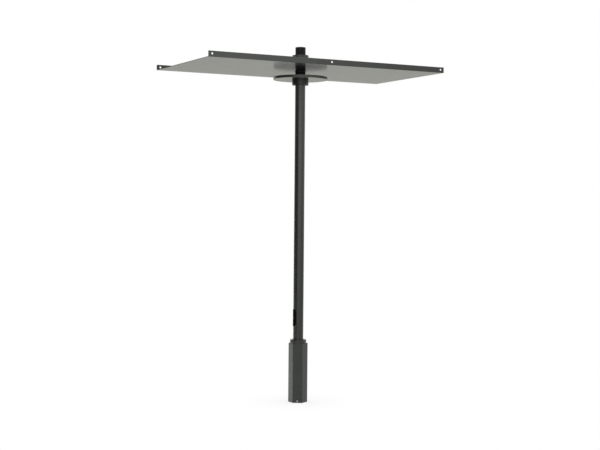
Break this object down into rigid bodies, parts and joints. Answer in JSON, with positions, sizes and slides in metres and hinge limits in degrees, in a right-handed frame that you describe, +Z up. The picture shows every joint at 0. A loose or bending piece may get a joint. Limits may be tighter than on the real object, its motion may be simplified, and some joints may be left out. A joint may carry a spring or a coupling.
{
  "type": "street lamp post",
  "caption": "Slim street lamp post with a round uplight under a flat rectangular canopy, a hexagonal base sleeve and a wiring door.",
  "frame": {"origin": "middle of the base plate's bottom face, at ground level on the pole's axis", "axes": "+Z up the pole, X along the canopy's length with the wiring door facing -X, Y along its width"},
  "size_m": [2, 1.02, 2.775],
  "materials": {
    "painted_steel": "satin anthracite powder coat on steel",
    "painted_aluminium": "satin anthracite powder coat on aluminium",
    "black_aluminium": "satin black powder coat on aluminium",
    "black_steel": "black zinc plating on steel",
    "stainless": "stainless fasteners",
    "galvanised": "dull galvanised steel",
    "black_plastic": "black moulded plastic",
    "black_rubber": "matt black rubber",
    "cable_sheath": "black cable sheath",
    "grey_plastic": "grey moulded plastic",
    "white_plastic": "white moulded plastic",
    "brass": "turned brass",
    "board_white": "white solder mask on aluminium",
    "led_phosphor": "yellow phosphor",
    "clear_lens": "clear toughened glass"
  },
  "bodies": {
    "post": {"pole_tube": "painted_steel", "pole_cap": "black_plastic", "base_plate": "painted_steel", "sleeve_screws": "stainless", "gear_tray": "galvanised", "tray_spacers": "galvanised", "tray_screws": "stainless", "fuse_box": "grey_plastic", "fuse_caps": "black_plastic", "supply_glands": "black_plastic", "driver_lead": "cable_sheath", "led_driver": "white_plastic", "earth_stud": "brass", "riser_cable": "cable_sheath", "cable_grommet": "black_rubber", "lamp_hub": "black_aluminium", "lamp_set_screws": "stainless", "lamp_dish": "painted_aluminium", "dish_screws": "stainless", "led_board": "board_white", "board_screws": "stainless", "led_chips": "led_phosphor", "led_connector": "white_plastic", "lens_gaskets": "black_rubber", "lens_ring": "clear_lens", "lens_screws": "stainless"},
    "sleeve": {"base_sleeve": "painted_steel", "sleeve_cap": "painted_aluminium", "neck_seal": "black_rubber", "neck_set_screws": "stainless"},
    "canopy": {"canopy_panel": "painted_aluminium", "hole_edge_trim": "black_rubber", "cross_channel_left": "galvanised", "cross_channel_right": "galvanised", "channel_studs": "stainless", "channel_nuts": "stainless", "hub_plate": "painted_aluminium", "canopy_hub": "painted_aluminium", "hub_bolts": "stainless", "hub_nuts": "stainless", "hub_seal": "black_rubber", "hub_set_screws": "stainless"},
    "door": {"access_door": "black_plastic", "door_gasket": "black_rubber"},
    "lock": {"lock_spindle": "black_steel", "latch_bar": "galvanised", "latch_nut": "galvanised"}
  },
  "joints": [
    {"name": "sleeve_lift", "type": "slide", "parent": "post", "child": "sleeve", "axis": [0, 0, 1], "range_m": [0, 0.08]},
    {"name": "canopy_turn", "type": "hinge", "parent": "post", "child": "canopy", "pos_m": [0, 0, 2.605], "axis": [0, 0, 1], "continuous": true},
    {"name": "door_pull", "type": "slide", "parent": "post", "child": "door", "axis": [-1, 0, 0], "range_m": [0, 0.06]},
    {"name": "door_lock", "type": "hinge", "parent": "door", "child": "lock", "pos_m": [-0.04, 0, 0.661], "axis": [-1, 0, 0], "range_deg": [0, 90]}
  ]
}
